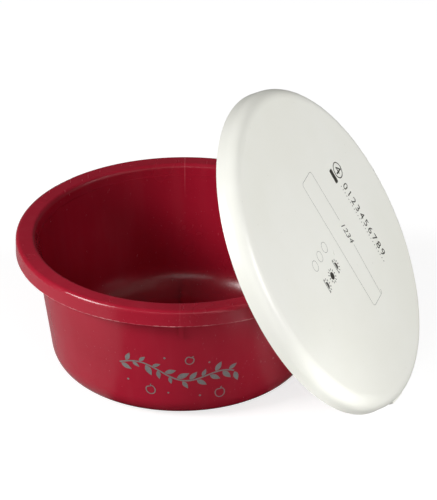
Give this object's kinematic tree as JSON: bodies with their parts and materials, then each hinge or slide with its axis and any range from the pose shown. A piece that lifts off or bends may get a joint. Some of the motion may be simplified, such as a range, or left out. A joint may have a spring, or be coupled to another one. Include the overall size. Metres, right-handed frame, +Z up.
{
  "type": "feed bowl with lid",
  "caption": "Round moulded feed bowl with a hanging rim flange and a separate press-on lid leaning on its rim.",
  "frame": {"origin": "middle of the bowl's flat underside, on the surface it stands on", "axes": "+Z up along the bowl's axis, -Y towards the printed front, +X towards the side the lid leans on"},
  "size_m": [0.3173, 0.2998, 0.2328],
  "materials": {
    "bowl_plastic": "satin, deep red",
    "lid_plastic": "satin, warm white"
  },
  "bodies": {
    "bowl": {"bowl": "bowl_plastic"},
    "lid": {"lid": "lid_plastic"}
  },
  "joints": [
    {"name": "lid_lift", "type": "slide", "parent": "bowl", "child": "lid", "axis": [0.8226, -0.2709, 0.4998], "range_m": [0, 0.12]}
  ]
}
